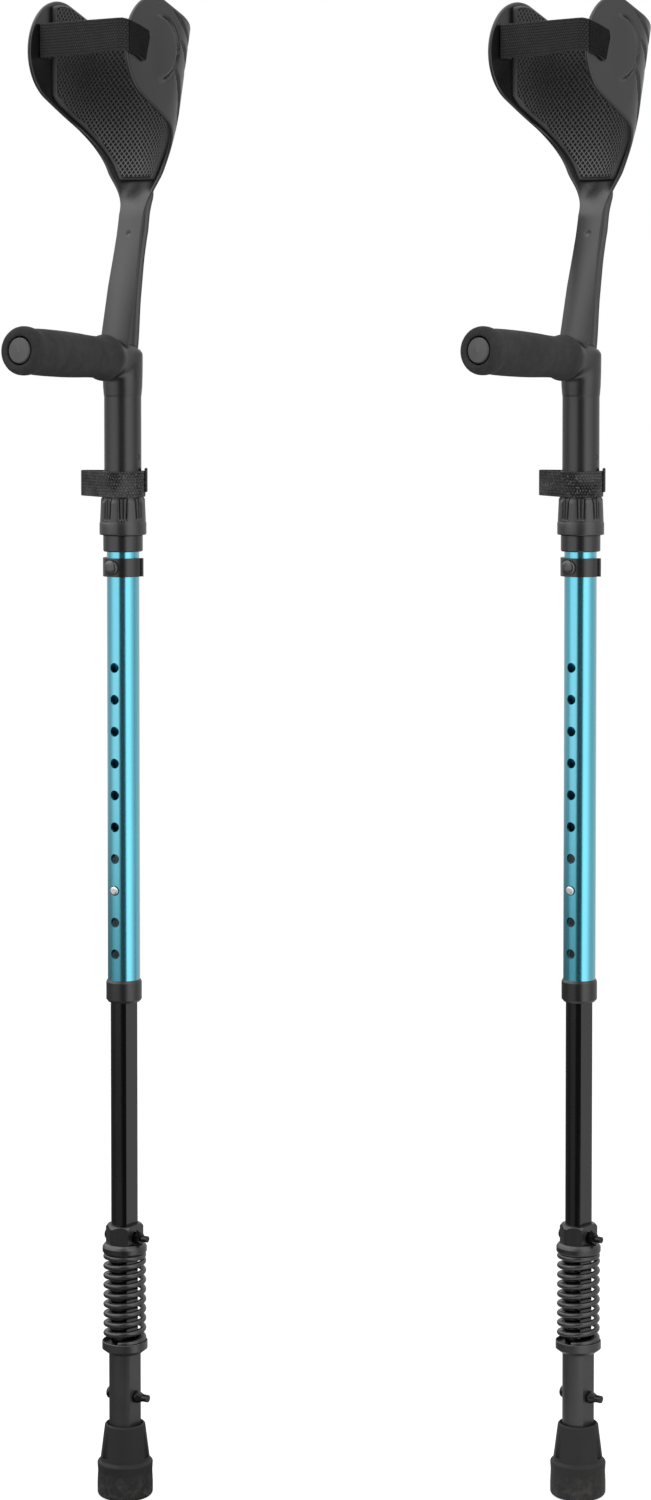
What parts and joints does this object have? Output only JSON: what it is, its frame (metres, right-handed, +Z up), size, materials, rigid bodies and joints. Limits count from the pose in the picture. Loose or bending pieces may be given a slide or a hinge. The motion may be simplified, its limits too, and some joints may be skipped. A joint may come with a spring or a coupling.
{
  "type": "forearm crutches",
  "caption": "Folding forearm crutches with open arm cuffs, foam hand grips, height-adjustable tubes and sprung rubber-tipped feet",
  "frame": {"origin": "On the floor, at the middle of the pair's bounding box", "axes": "+Z up along the tubes; the handles and the open side of the cuffs point along -Y and the bolts cross along X, but each crutch is turned 3.7 degrees about its own tube, toward the other one"},
  "size_m": [0.3882, 0.4004, 1.1761],
  "materials": {
    "rubber": "matt moulded rubber",
    "zinc": "plated steel",
    "black_tube": "satin black coating",
    "black_steel": "satin black coating",
    "moulding": "satin moulded plastic",
    "teal_tube": "teal anodised, polished",
    "webbing": "woven webbing",
    "foam": "soft dense foam",
    "grey_cap": "satin grey plastic",
    "pad": "perforated soft rubber"
  },
  "bodies": {
    "left_foot": {"left_ferrule": "rubber", "left_ferrule_washer": "zinc", "left_foot_tube": "black_tube", "left_travel_bolt": "black_steel", "left_travel_nut": "black_steel", "left_spring_bottom_seat": "moulding"},
    "left_height_tube": {"left_height_tube": "black_tube", "left_spring_top_seat": "moulding", "left_seat_bolt": "black_steel", "left_seat_nut": "black_steel", "left_coil_spring": "black_steel"},
    "left_button": {"left_height_button": "zinc"},
    "left_leg": {"left_main_tube": "teal_tube", "left_tube_bushing": "moulding", "left_tube_clip": "moulding", "left_hinge_knuckle": "moulding"},
    "left_collar": {"left_lock_collar": "moulding", "left_storage_strap": "webbing"},
    "left_upper": {"left_hinge_fork": "moulding", "left_fork_rivet": "zinc", "left_hinge_pin": "zinc", "left_upper_tube": "black_tube", "left_handle_body": "moulding", "left_grip": "foam", "left_grip_end_cap": "grey_cap", "left_cuff_shell": "moulding", "left_cuff_pad": "pad", "left_cuff_strap": "webbing"},
    "right_foot": {"right_ferrule": "rubber", "right_ferrule_washer": "zinc", "right_foot_tube": "black_tube", "right_travel_bolt": "black_steel", "right_travel_nut": "black_steel", "right_spring_bottom_seat": "moulding"},
    "right_height_tube": {"right_height_tube": "black_tube", "right_spring_top_seat": "moulding", "right_seat_bolt": "black_steel", "right_seat_nut": "black_steel", "right_coil_spring": "black_steel"},
    "right_button": {"right_height_button": "zinc"},
    "right_leg": {"right_main_tube": "teal_tube", "right_tube_bushing": "moulding", "right_tube_clip": "moulding", "right_hinge_knuckle": "moulding"},
    "right_collar": {"right_lock_collar": "moulding", "right_storage_strap": "webbing"},
    "right_upper": {"right_hinge_fork": "moulding", "right_fork_rivet": "zinc", "right_hinge_pin": "zinc", "right_upper_tube": "black_tube", "right_handle_body": "moulding", "right_grip": "foam", "right_grip_end_cap": "grey_cap", "right_cuff_shell": "moulding", "right_cuff_pad": "pad", "right_cuff_strap": "webbing"}
  },
  "joints": [
    {"name": "left_leg_fold", "type": "hinge", "parent": "left_upper", "child": "left_leg", "pos_m": [-0.14726, -0.0526, 0.7681], "axis": [0.9979, 0.0645, 0], "range_deg": [0, 160]},
    {"name": "left_collar_lift", "type": "slide", "parent": "left_upper", "child": "left_collar", "axis": [0, 0, 1], "range_m": [0, 0.0542]},
    {"name": "left_height_slide", "type": "slide", "parent": "left_leg", "child": "left_height_tube", "axis": [0, 0, 1], "range_m": [-0.05, 0.175]},
    {"name": "left_button_press", "type": "slide", "parent": "left_height_tube", "child": "left_button", "axis": [-0.0645, 0.9979, 0], "range_m": [0, 0.0042], "stiffness_N_per_m": 1200, "springref_m": -0.002, "deforming": ["left_height_button"]},
    {"name": "left_foot_spring", "type": "slide", "parent": "left_height_tube", "child": "left_foot", "axis": [0, 0, 1], "range_m": [0, 0.015], "stiffness_N_per_m": 12000, "springref_m": -0.003, "deforming": ["left_coil_spring"]},
    {"name": "right_crutch_slide", "type": "slide", "parent": "left_upper", "child": "right_upper", "axis": [1, 0, 0], "range_m": [0, 0.3]},
    {"name": "right_leg_fold", "type": "hinge", "parent": "right_upper", "child": "right_leg", "pos_m": [0.14726, 0.15274, 0.7681], "axis": [0.9979, -0.0645, 0], "range_deg": [0, 160]},
    {"name": "right_collar_lift", "type": "slide", "parent": "right_upper", "child": "right_collar", "axis": [0, 0, 1], "range_m": [0, 0.0542]},
    {"name": "right_height_slide", "type": "slide", "parent": "right_leg", "child": "right_height_tube", "axis": [0, 0, 1], "range_m": [-0.05, 0.175]},
    {"name": "right_button_press", "type": "slide", "parent": "right_height_tube", "child": "right_button", "axis": [0.0645, 0.9979, 0], "range_m": [0, 0.0042], "stiffness_N_per_m": 1200, "springref_m": -0.002, "deforming": ["right_height_button"]},
    {"name": "right_foot_spring", "type": "slide", "parent": "right_height_tube", "child": "right_foot", "axis": [0, 0, 1], "range_m": [0, 0.015], "stiffness_N_per_m": 12000, "springref_m": -0.003, "deforming": ["right_coil_spring"]}
  ],
  "couplings": [
    {"joint": "left_collar_lift", "follows": "left_leg_fold", "m_per_rad": 0.019337},
    {"joint": "right_collar_lift", "follows": "right_leg_fold", "m_per_rad": 0.019337}
  ]
}
